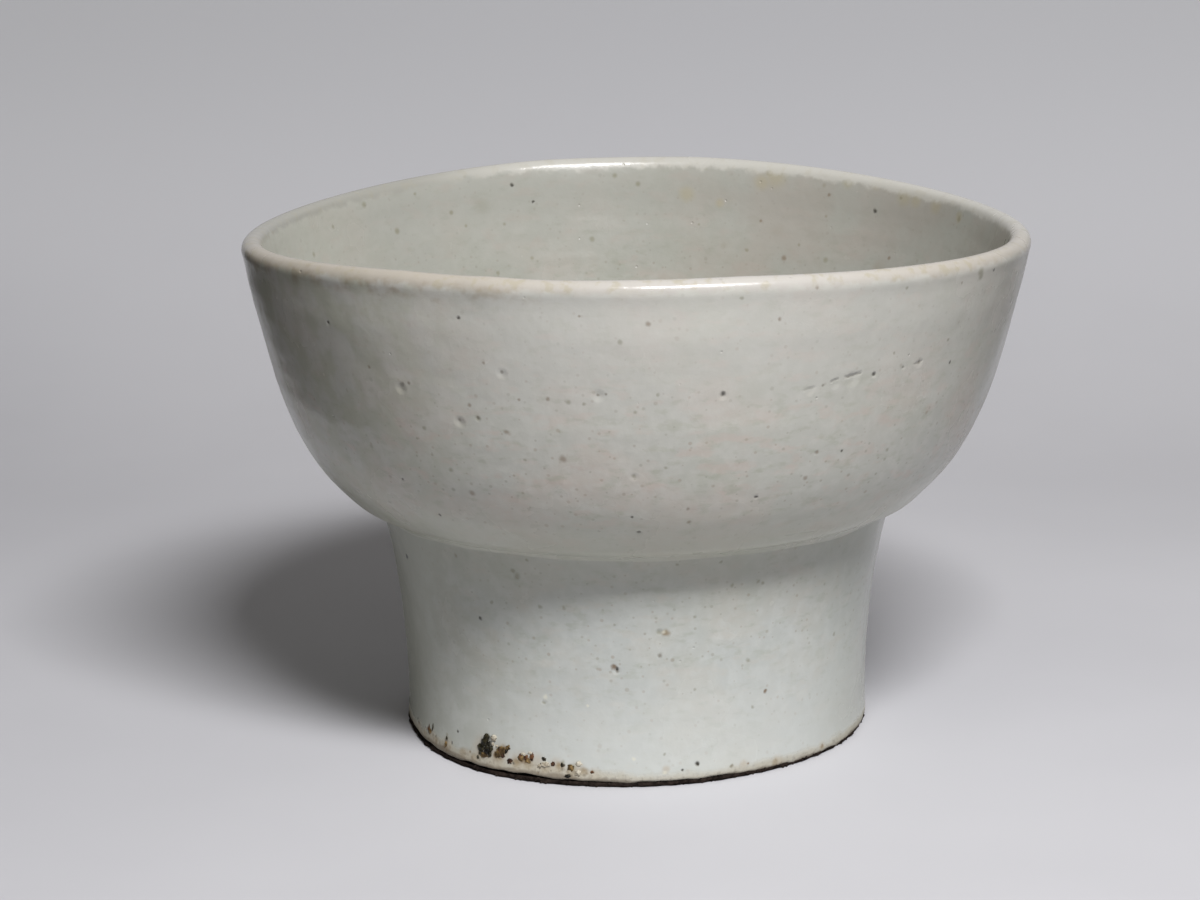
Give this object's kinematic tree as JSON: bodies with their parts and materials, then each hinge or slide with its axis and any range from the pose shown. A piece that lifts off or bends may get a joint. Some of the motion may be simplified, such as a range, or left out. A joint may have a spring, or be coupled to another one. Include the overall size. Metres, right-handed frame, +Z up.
{
  "type": "footed bowl",
  "caption": "White glazed porcelain bowl with a wide, slightly saddle-shaped mouth on a tall, hollow, waisted foot ring.",
  "frame": {"origin": "on the table, under the middle of the mouth", "axes": "+Z is up out of the mouth, and -Y is the side that faces the picture"},
  "size_m": [0.1499, 0.15, 0.0993],
  "materials": {
    "bowl_glaze": "warm grey-white glaze with iron specks, pits and a worn beige lip",
    "foot_glaze": "cool grey-white glaze, bare on the sole and stained brown at its edge",
    "slip_glaze": "glazed slip seam, slightly wrinkled",
    "sand_crust": "dark coarse kiln sand fused to the sole"
  },
  "bodies": {
    "root": {"bowl": "bowl_glaze", "foot_ring": "foot_glaze", "luting_slip": "slip_glaze", "kiln_sand": "sand_crust"}
  },
  "joints": []
}
